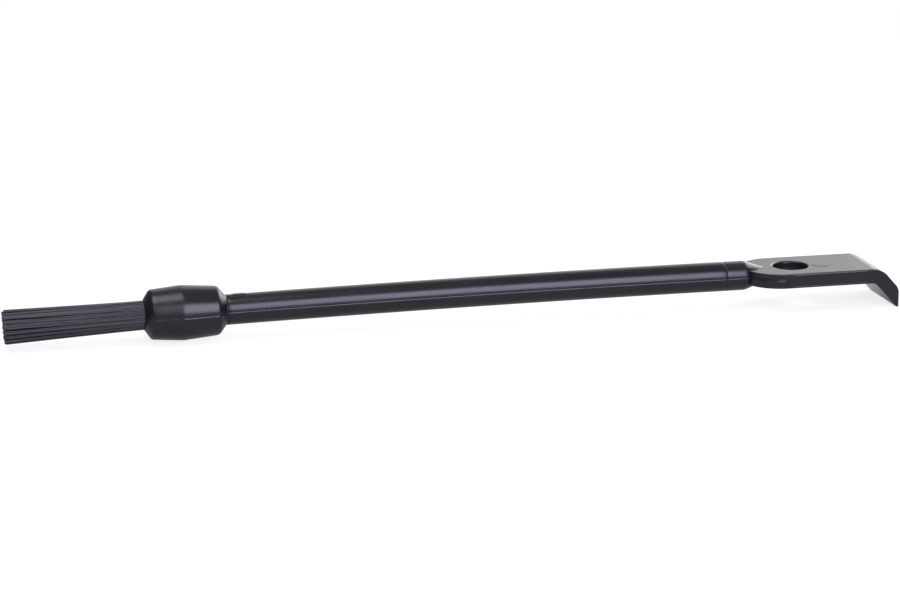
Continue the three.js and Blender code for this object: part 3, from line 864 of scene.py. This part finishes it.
class BRUSH_OT_scraper(Operator):
    """Model the scraper: a stub and cone that sink into a plate with a hanging hole and a bent lip"""

    bl_idname = "cleaning_brush.scraper"
    bl_label = "Scraper"

    def execute(self, context):
        settings = context.scene.cleaning_brush
        sizes = settings.scraper
        seam = SHAFT_HIGH.x + settings.shaft.seam_gap
        plate = self.folded_plate(sizes, seam)
        combine(plate, self.plan_block(sizes, seam), "INTERSECT")
        combine(plate, self.hole_cutter(sizes, seam), "DIFFERENCE")
        self.weigh_edges(plate, sizes, seam)
        apply_modifier(
            plate, "BEVEL", width=sizes.hole_round, segments=EDGE_SEGMENTS, limit_method="WEIGHT"
        )
        for side in (-1, 1):
            combine(plate, self.witness_cutter(sizes, seam, side), "DIFFERENCE")
        combine(plate, self.ejector_disc(sizes, seam), "UNION")
        combine(plate, self.stub(settings, seam), "UNION")

        self.raise_edge_lines(plate, settings, seam)
        parting = settings.parting
        stub_start = seam + settings.shaft.seam_chamfer
        round_end = seam + sizes.round_centre - sizes.witness_width
        inside = SIDE_SHARE * settings.shaft.radius
        raise_parting_line(
            plate,
            parting,
            0,
            parting.height,
            lambda spot: stub_start < spot.x < round_end and abs(spot.y) > inside,
        )
        fall = math.tan(sizes.sag)
        lift_along(plate, lambda x: settings.shaft.end_lift - fall * max(0, x - seam))
        dress(plate, "scraper", shared_material(moulded_plastic, context))
        apply_modifier(plate, "WEIGHTED_NORMAL", keep_sharp=True)
        return {"FINISHED"}

    def folded_plate(self, sizes, seam):
        """The plate and its lip as a side profile, extruded across wider than the plate."""
        top = sizes.thickness / 2
        fall = math.tan(sizes.fold_angle)
        inner_fold = sizes.fold_at - sizes.lip_thickness / math.sin(sizes.fold_angle)
        inner_fold += sizes.thickness / fall
        inner_tip = inner_fold + (sizes.drop - top) / fall
        face_top = top - (sizes.face_at - sizes.fold_at) * fall
        start = sizes.round_centre - sizes.plate_width
        across = Vector((0, sizes.plate_width, 0))
        outline = [
            (start, top),
            (sizes.fold_at, top, sizes.fold_rounding, 10),
            (sizes.face_at, face_top, sizes.face_rounding, 8),
            (sizes.face_at, sizes.tip_chamfer - sizes.drop),
            (inner_tip, -sizes.drop),
            (inner_fold, -top, sizes.inner_rounding, 6),
            (start, -top),
        ]
        corners = [(on_axis(seam, x, z) - across, rounding) for x, z, *rounding in outline]
        plate = draw_outline("scraper_head", corners)
        bpy.ops.mesh.select_all(action="SELECT")
        bpy.ops.mesh.edge_face_add()
        bpy.ops.mesh.extrude_region_move(TRANSFORM_OT_translate={"value": 2 * across})
        weld()
        return plate

    def weigh_edges(self, plate, sizes, seam):
        """Marks the plate's sharp edges for rounding: the hole's by more, the lip's thin tip by less."""
        activate(plate)
        bpy.ops.object.mode_set(mode="EDIT")
        bpy.ops.mesh.select_mode(type="EDGE")
        bpy.ops.mesh.select_all(action="DESELECT")
        bpy.ops.mesh.edges_select_sharp(sharpness=SMOOTH_ANGLE)
        bpy.ops.transform.edge_bevelweight(value=sizes.edge_round / sizes.hole_round)
        bpy.ops.mesh.select_mode(type="VERT")
        hole = on_axis(seam, sizes.hole_at, 0)
        choose(
            lambda spot: (spot - hole).to_2d().length < sizes.hole_radius + sizes.hole_draft
            and abs(spot.z - AXIS_Z) > sizes.thickness / 2 - TOUCH
        )
        bpy.ops.transform.edge_bevelweight(value=1 - sizes.edge_round / sizes.hole_round)
        choose(lambda spot: spot.z < AXIS_Z - sizes.drop + 2 * sizes.tip_chamfer)
        bpy.ops.transform.edge_bevelweight(value=(sizes.tip_round - sizes.edge_round) / sizes.hole_round)

    def raise_edge_lines(self, plate, settings, seam):
        """Raises a fine line along the top edge of the plate's straight sides, and one at their foot."""
        sizes = settings.scraper
        parting = settings.parting
        start = seam + sizes.round_centre + sizes.witness_width
        end = seam + sizes.fold_at - sizes.fold_rounding
        slice_along(plate, start, end, settings.shaft.step)
        level = sizes.thickness / 2 - sizes.edge_round - parting.width / 2
        for height in (level, -level):
            raise_parting_line(
                plate,
                parting,
                height,
                parting.height,
                lambda spot: start < spot.x < end and abs(spot.y) > sizes.plate_width / 2 - TOUCH,
            )

    def plan_block(self, sizes, seam):
        """The plate's outline from above as a tall block: a full-round end with straight sides."""
        centre = on_axis(seam, sizes.round_centre, 0)
        block = add_primitive(
            bpy.ops.mesh.primitive_cylinder_add,
            "plan_block",
            vertices=TURN_STEPS,
            radius=sizes.plate_width / 2,
            depth=2 * sizes.plate_width,
            location=centre,
        )
        bpy.ops.mesh.select_all(action="SELECT")
        bpy.ops.mesh.bisect(
            plane_co=centre, plane_no=ALONG, use_fill=True, clear_outer=True, threshold=WELD
        )
        choose_faces(lambda middle, normal: middle.x > centre.x - TOUCH)
        run = Vector((2 * sizes.face_at, 0, 0))
        bpy.ops.mesh.extrude_region_move(TRANSFORM_OT_translate={"value": run})
        weld()
        return block

    def hole_cutter(self, sizes, seam):
        """A round cutter, waisted a little at the height of the axis as a drafted hole is."""
        radius = sizes.hole_radius
        waist = radius - sizes.hole_draft
        reach = sizes.thickness
        flare = radius + sizes.hole_draft
        outline = [(0, -reach), (flare, -reach), (waist, 0), (flare, reach), (0, reach)]
        points = [on_axis(seam, sizes.hole_at + out, height) for out, height in outline]
        cutter = draw_chain("hole_cutter", points)
        turn(on_axis(seam, sizes.hole_at, 0), UP, HOLE_STEPS)
        return cutter

    def witness_cutter(self, sizes, seam, side):
        """A thin upright wedge for the line where two parts of the mould meet on the plate's edge."""
        width = sizes.witness_width / math.sqrt(2)
        return add_primitive(
            bpy.ops.mesh.primitive_cube_add,
            "witness_cutter",
            size=1,
            location=on_axis(seam, sizes.round_centre, -sizes.thickness / 2)
            + Vector((0, side * sizes.plate_width / 2, 0)),
            rotation=(0, 0, math.radians(45)),
            scale=(width, width, sizes.thickness),
        )

    def ejector_disc(self, sizes, seam):
        """The faint raised disc that an ejector pin leaves on the plate."""
        level = (sizes.thickness + sizes.disc_height - sizes.disc_depth) / 2
        disc = add_primitive(
            bpy.ops.mesh.primitive_cylinder_add,
            "ejector_disc",
            vertices=HOLE_STEPS,
            radius=sizes.disc_radius,
            depth=sizes.disc_height + sizes.disc_depth,
            location=on_axis(seam, sizes.disc_at[0], level) + Vector((0, sizes.disc_at[1], 0)),
        )
        choose_faces(lambda middle, normal: normal.z > FACING)
        bpy.ops.mesh.bevel(offset=sizes.disc_round, segments=3, affect="EDGES")
        return disc

    def stub(self, settings, seam):
        """The round part: a spigot into the shaft, a stub, and the cone that sinks into the plate."""
        sizes = settings.scraper
        shaft = settings.shaft
        spigot = seam - SCRAPER_LOW.x
        cone_end = sizes.stub_length + sizes.cone_length
        end_radius = shaft.radius - sizes.cone_length * math.tan(sizes.cone_angle)
        outline = [
            (-spigot, 0),
            (-spigot, sizes.spigot_radius - shaft.lead_in),
            (shaft.lead_in - spigot, sizes.spigot_radius),
            (0, sizes.spigot_radius),
            (0, shaft.radius - shaft.seam_chamfer),
            (shaft.seam_chamfer, shaft.radius, shaft.seam_rounding, 2),
            (sizes.stub_length, shaft.radius, sizes.cone_rounding, 4),
            (cone_end, end_radius),
            (cone_end, 0),
        ]
        return turned_piece("stub", seam, outline, shaft.step)


class BRUSH_OT_bristles(Operator):
    """Lay the nylon filaments of the tuft, folded in two over the anchor, as an upper and a lower leg"""

    bl_idname = "cleaning_brush.bristles"
    bl_label = "Bristles"

    def execute(self, context):
        sizes = context.scene.cleaning_brush.tuft
        draws = random.Random(sizes.seed)
        material = shared_material(nylon_filament, context)
        for name, side in (("upper", 1), ("lower", -1)):
            spots = self.honeycomb(sizes, side)
            paths = [self.filament_path(sizes, spot, draws) for spot in spots]
            piece = self.bundle(f"{name}_tuft", sizes, paths)
            self.tone_filaments(piece, [self.tone(sizes, spot, draws) for spot in spots])
            dress(piece, f"{name}_bristles", material)
        return {"FINISHED"}

    def honeycomb(self, sizes, side):
        """Places of one leg's filaments in the mouth, as (Y, Z) from the axis."""
        row_pitch = sizes.pitch * math.sqrt(3) / 2
        rows = int(sizes.radius / row_pitch)
        columns = math.ceil(sizes.radius / sizes.pitch)
        spots = []
        for row in range(rows + 1):
            stagger = 0.5 * ((row + (side < 0)) % 2)
            for column in range(-columns, columns + 1):
                spot = Vector(((column + stagger) * sizes.pitch, side * (row + 0.5) * row_pitch))
                if spot.length <= sizes.radius:
                    spots.append(spot)
        return spots

    def clump_of(self, sizes, spot):
        """The clump that a filament belongs to, as its column and row in a staggered grid."""
        row = round(spot.y / sizes.clump - 0.5) + 0.5
        stagger = 0.5 * (int(abs(row - 0.5)) % 2)
        return Vector((round(spot.x / sizes.clump - stagger) + stagger, row))

    def tip_moves(self, sizes, spot, draws):
        """How a filament moves on its way to the tip: in towards its clump, and away with its clump."""
        grid = self.clump_of(sizes, spot)
        clump = grid * sizes.clump
        clump_draws = random.Random(f"lean {grid.x} {grid.y}")
        lean = Vector((sizes.side_lean, sizes.lean)) * sizes.clump
        for axis in (0, 1):
            room = max(0, 1 - abs(clump[axis]) / sizes.radius)
            lean[axis] *= clump_draws.uniform(-1, 1) * room
        own = Vector((draws.gauss(0, 1), draws.gauss(0, 1))) * sizes.wander
        inwards = (clump - spot) * (1 - sizes.gather)
        return inwards, clump * (sizes.spread - 1) + lean + own

    def tone(self, sizes, spot, draws):
        """How pale a filament is, from 0 to 1: partly its clump's tone, partly its own."""
        grid = self.clump_of(sizes, spot)
        clump_tone = random.Random(f"tone {grid.x} {grid.y}").random()
        return clump_tone * sizes.clump_tone + draws.random() * (1 - sizes.clump_tone)

    def filament_path(self, sizes, spot, draws):
        """The line of one filament, from the fold behind the anchor to its tip."""
        side = math.copysign(1, spot.y)
        pressed = sizes.slit + abs(spot.y) * (1 - sizes.slit / sizes.radius)
        anchor_start = ANCHOR_LOW.x - MOUTH_X
        anchor_end = ANCHOR_HIGH.x - MOUTH_X
        depth = sizes.fold_depth * pressed / sizes.radius
        inwards, away = self.tip_moves(sizes, spot, draws)
        reach = sizes.reach + sizes.trim_slope * (spot.y + inwards.y + away.y - sizes.droop)
        reach += draws.uniform(-1, 1) * sizes.raggedness
        bow = draws.gauss(0, 1) * sizes.wander

        points = []
        for share_turned in FOLD_TURNS:
            bend = share_turned * math.pi / 2
            height = side * max(pressed * math.cos(bend), sizes.fold_gap)
            points.append((anchor_end + depth * math.sin(bend), spot.x, height))
        points.append((anchor_start - sizes.fold_front, spot.x, side * pressed))
        for out in REACH_SHARES:
            across = spot + inwards * out**sizes.gather_course + away * out**sizes.spread_course
            height = across.y - sizes.droop * out + bow * arch(out)
            points.append((-reach * out, across.x + bow * arch(out), height))
        return [Vector((MOUTH_X + x, y, AXIS_Z + z)) for x, y, z in points]

    def bundle(self, name, sizes, paths):
        """All filaments of one leg, as six-sided rods along their paths, in one mesh."""
        curve = bpy.data.curves.new(name, "CURVE")
        curve.dimensions = "3D"
        curve.bevel_depth = sizes.filament / 2
        curve.bevel_resolution = 1
        curve.use_fill_caps = True
        for path in paths:
            spline = curve.splines.new("POLY")
            spline.points.add(len(path) - 1)
            for point, spot in zip(spline.points, path):
                point.co = (*spot, 1)
        piece = bpy.data.objects.new(name, curve)
        bpy.context.scene.collection.objects.link(piece)
        activate(piece)
        bpy.ops.object.convert(target="MESH")
        piece = bpy.context.object
        bpy.ops.object.mode_set(mode="EDIT")
        weld()
        return piece

    def tone_filaments(self, piece, tones):
        """Gives each filament its tone, as an attribute of its points."""
        activate(piece)
        points = len(piece.data.vertices) // len(tones)
        attribute = piece.data.attributes.new("filament_tone", "FLOAT", "POINT")
        attribute.data.foreach_set("value", [tone for tone in tones for point in range(points)])


class BRUSH_OT_anchor(Operator):
    """Model the tuft's anchor: a short flat wire with rolled edges, across the fold"""

    bl_idname = "cleaning_brush.anchor"
    bl_label = "Tuft anchor"

    def execute(self, context):
        size = ANCHOR_HIGH - ANCHOR_LOW
        piece = add_primitive(
            bpy.ops.mesh.primitive_cube_add,
            "anchor_wire",
            size=1,
            location=(ANCHOR_LOW + ANCHOR_HIGH) / 2,
            scale=size,
        )
        bpy.ops.mesh.select_mode(type="EDGE")
        bpy.ops.mesh.select_all(action="DESELECT")
        drawing = bmesh.from_edit_mesh(piece.data)
        for line in drawing.edges:
            line.select_set(abs(line.verts[0].co.y - line.verts[1].co.y) > TOUCH)
        bmesh.update_edit_mesh(piece.data)
        edge = context.scene.cleaning_brush.tuft.anchor_edge * size.z
        bpy.ops.mesh.bevel(offset=edge, segments=EDGE_SEGMENTS, affect="EDGES")
        dress(piece, "tuft_anchor", shared_material(rolled_wire, context))
        return {"FINISHED"}


class BRUSH_OT_stage(Operator):
    """Set the stage: camera, softboxes, a studio round them and a pale floor"""

    bl_idname = "cleaning_brush.stage"
    bl_label = "Stage"

    def execute(self, context):
        settings = context.scene.cleaning_brush.stage
        context.scene.view_settings.view_transform = "Standard"
        self.set_camera(context, settings)
        for kind in ("key", "top", "back", "left", "right"):
            self.hang_softbox(settings, kind)
        self.paint_studio(context, settings)
        self.lay_floor(settings)
        return {"FINISHED"}

    def set_camera(self, context, settings):
        """Looks at the brush from the front, a little from the left and from above."""
        level = math.cos(settings.elevation)
        forward = Vector(
            (
                math.sin(settings.azimuth) * level,
                math.cos(settings.azimuth) * level,
                -math.sin(settings.elevation),
            )
        )
        turned = forward.to_track_quat("-Z", "Y") @ Quaternion(UP, settings.roll)
        bpy.ops.object.camera_add(
            location=Vector(settings.aim) - forward * settings.distance, rotation=turned.to_euler()
        )
        camera = context.object
        camera.name = "photo_camera"
        camera.data.lens = settings.lens
        camera.data.clip_start = settings.nearest
        context.scene.camera = camera

    def hang_softbox(self, settings, kind):
        """A rectangular lamp that faces the brush, as bright as its radiance says."""
        spot = Vector(getattr(settings, f"{kind}_place"))
        width, height = getattr(settings, f"{kind}_size")
        facing = (on_axis(0, 0, 0) - spot).to_track_quat("-Z", "Y")
        bpy.ops.object.light_add(type="AREA", location=spot, rotation=facing.to_euler())
        lamp = bpy.context.object
        lamp.name = f"{kind}_softbox"
        lamp.data.shape = "RECTANGLE"
        lamp.data.size = width
        lamp.data.size_y = height
        lamp.data.color = getattr(settings, f"{kind}_colour")
        lamp.data.energy = getattr(settings, f"{kind}_strength") * math.pi * width * height
        lamp.visible_camera = False

    def paint_studio(self, context, settings):
        """The studio's walls as light from all round, and plain white where the camera looks."""
        world = bpy.data.worlds.new("studio")
        world.use_nodes = True
        world.node_tree.nodes.clear()
        tree = world.node_tree
        direction = Wire.node(tree, "ShaderNodeTexCoord", output="Generated")
        right = Wire.node(tree, "ShaderNodeSeparateXYZ", {}, {"Vector": direction})
        back = right.sibling("Y")
        height = right.sibling("Z")
        walls = height.step(*CEILING_EDGES) * settings.ceiling + settings.room
        walls = walls + (0 - back).step(*FRONT_EDGES) * settings.front
        behind = back.step(*BACKDROP_EDGES) * right.step(*BACKDROP_SIDE_EDGES)
        behind = behind * (1 - height.step(*BACKDROP_TOP_EDGES))
        seen = walls * (1 - behind) + behind * settings.backdrop
        pictured = pictured_rays(tree)
        light = seen * (1 - pictured) + pictured
        background = Wire.node(
            tree, "ShaderNodeBackground", {}, {"Color": (1, 1, 1, 1), "Strength": light}
        )
        Wire.node(tree, "ShaderNodeOutputWorld", {}, {"Surface": background})
        context.scene.world = world

    def lay_floor(self, settings):
        """A pale floor that touches the ferrule's ridge and the lip's tip, and takes a soft shadow."""
        ridge_at = bpy.context.scene.cleaning_brush.ferrule.ridge_at
        ridge = Vector((MOUTH_X + ridge_at, 0, FERRULE_LOW.z))
        tip = Vector((SCRAPER_HIGH.x, 0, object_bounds()[0].z))
        middle = (ridge + tip) / 2 - UP * settings.floor_gap
        tilt = math.atan2(ridge.z - tip.z, tip.x - ridge.x)
        floor = add_primitive(
            bpy.ops.mesh.primitive_plane_add,
            "studio_floor",
            size=settings.floor_size,
            location=middle,
            rotation=(0, tilt, 0),
        )
        bpy.ops.mesh.select_all(action="SELECT")
        bpy.ops.mesh.subdivide(number_cuts=FLOOR_CUTS)
        bpy.ops.object.mode_set(mode="OBJECT")
        floor.data.materials.append(pale_floor(settings))
        floor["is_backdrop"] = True


STEP_OPERATORS = (
    BRUSH_OT_ferrule,
    BRUSH_OT_shaft,
    BRUSH_OT_scraper,
    BRUSH_OT_bristles,
    BRUSH_OT_anchor,
    BRUSH_OT_stage,
)


class BRUSH_PT_sidebar(Panel):
    """Lists the sizes, the finishes and the steps"""

    bl_idname = "BRUSH_PT_sidebar"
    bl_label = "Coffee machine brush"
    bl_space_type = "VIEW_3D"
    bl_region_type = "UI"
    bl_category = "Brush"

    def draw(self, context):
        settings = context.scene.cleaning_brush
        for group_name in BrushSettings.__annotations__:
            group = getattr(settings, group_name)
            box = self.layout.box()
            box.label(text=group_name.capitalize())
            for name in type(group).__annotations__:
                box.prop(group, name)
        for operator in STEP_OPERATORS:
            self.layout.operator(operator.bl_idname)


CLASSES = (
    FerruleSizes,
    ShaftSizes,
    PartingLine,
    ScraperSizes,
    TuftSizes,
    Finishes,
    StageSettings,
    BrushSettings,
    *STEP_OPERATORS,
    BRUSH_PT_sidebar,
)


def register():
    """Registers the classes, and gives each scene its settings."""
    for item in CLASSES:
        bpy.utils.register_class(item)
    bpy.types.Scene.cleaning_brush = PointerProperty(type=BrushSettings)


def unregister():
    """Takes back what register did."""
    del bpy.types.Scene.cleaning_brush
    for item in reversed(CLASSES):
        bpy.utils.unregister_class(item)


def main():
    """Models the brush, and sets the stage."""
    register()
    bpy.ops.cleaning_brush.ferrule()
    bpy.ops.cleaning_brush.shaft()
    bpy.ops.cleaning_brush.scraper()
    bpy.ops.cleaning_brush.bristles()
    bpy.ops.cleaning_brush.anchor()
    bpy.ops.cleaning_brush.stage()


if __name__ == "__main__":
    main()
